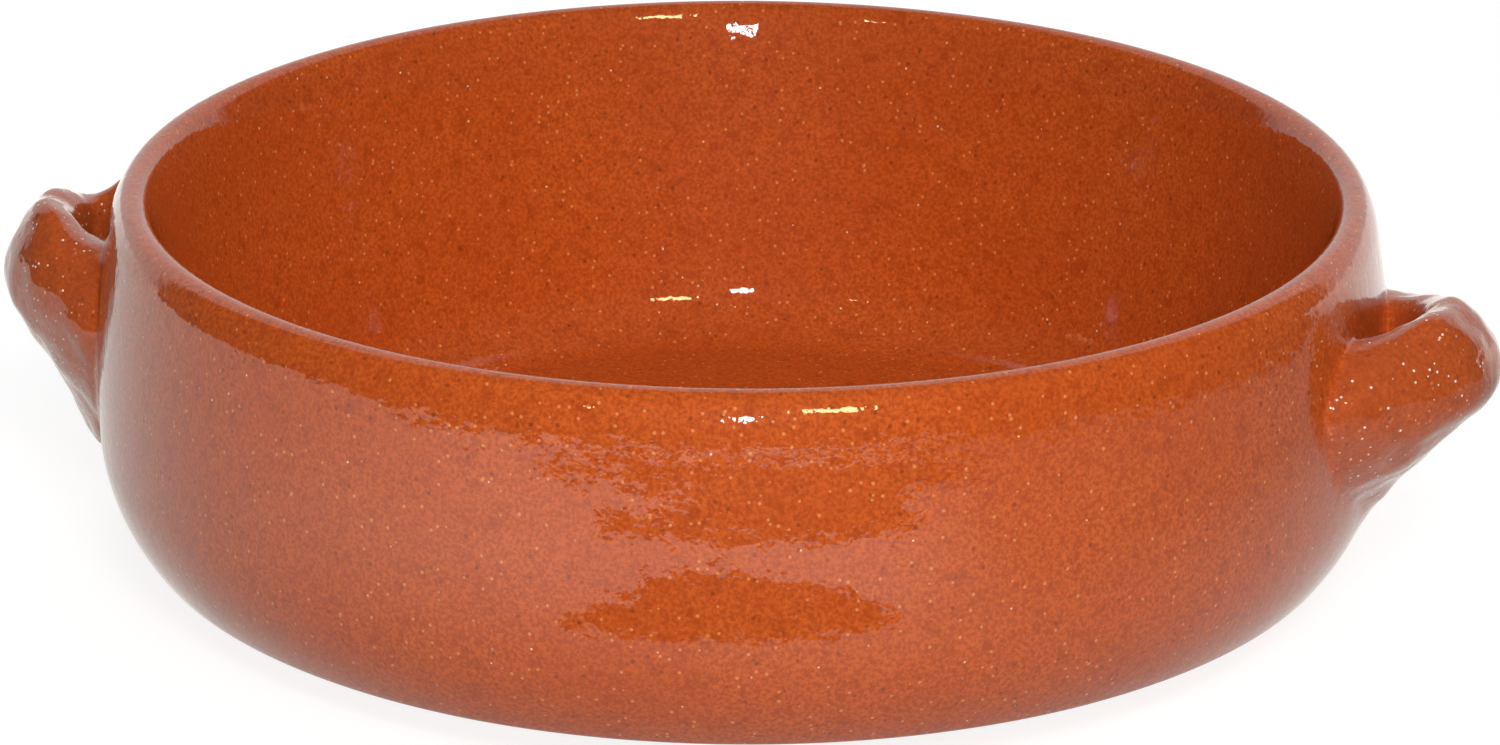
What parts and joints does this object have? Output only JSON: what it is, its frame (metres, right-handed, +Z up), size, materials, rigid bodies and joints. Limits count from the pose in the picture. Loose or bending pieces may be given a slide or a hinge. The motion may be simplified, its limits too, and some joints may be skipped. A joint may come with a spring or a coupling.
{
  "type": "two-handled oven dish",
  "caption": "Round glazed terracotta oven dish with a bowed wall, thick rounded lip and a pinched lug handle with a thumb pocket on each side.",
  "frame": {"origin": "centre of the flat base, on the surface that the dish stands on, on the axis that the body was turned about", "axes": "+Z up through the open mouth; +X through the right-hand handle, which with its mate sits 4 degrees round towards -Y; -Y is the front"},
  "size_m": [0.2934, 0.25, 0.075],
  "materials": {
    "glazed_clay": "clear high-gloss glaze over speckled orange terracotta"
  },
  "bodies": {
    "root": {"dish": "glazed_clay"}
  },
  "joints": []
}
